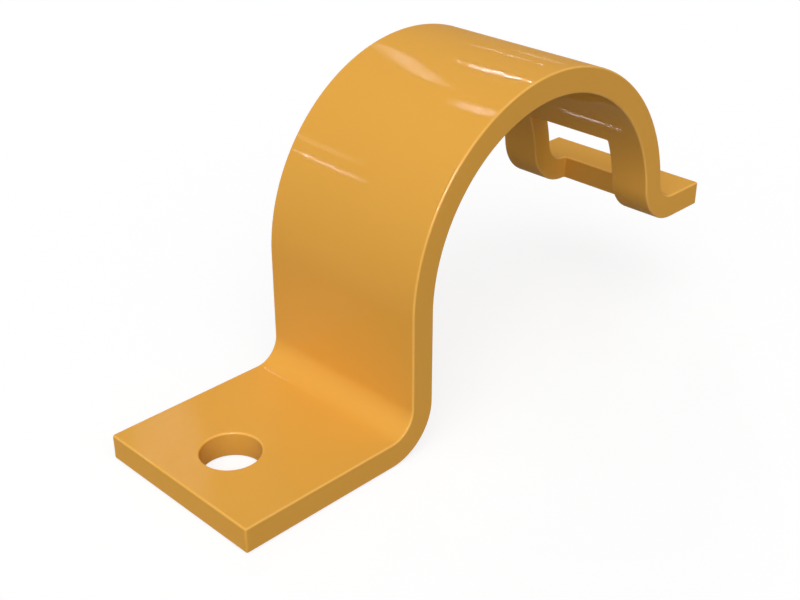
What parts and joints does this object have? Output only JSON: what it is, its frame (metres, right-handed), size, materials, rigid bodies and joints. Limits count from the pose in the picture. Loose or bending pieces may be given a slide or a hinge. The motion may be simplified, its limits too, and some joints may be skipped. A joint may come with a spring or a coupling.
{
  "type": "pipe clip",
  "caption": "Folded steel strap that saddles a pipe, with a bolted foot at one end and a higher, slotted foot at the other that hooks over a tongue.",
  "frame": {"origin": "on the pipe's axis, halfway across the strap", "axes": "+Y along the pipe, +X from the bolted foot to the slotted foot, +Z away from the wall that the strap is bolted to"},
  "size_m": [0.0801, 0.0242, 0.0409],
  "materials": {
    "amber_coated_steel": "glossy"
  },
  "bodies": {
    "root": {"clip_strap": "amber_coated_steel"}
  },
  "joints": []
}
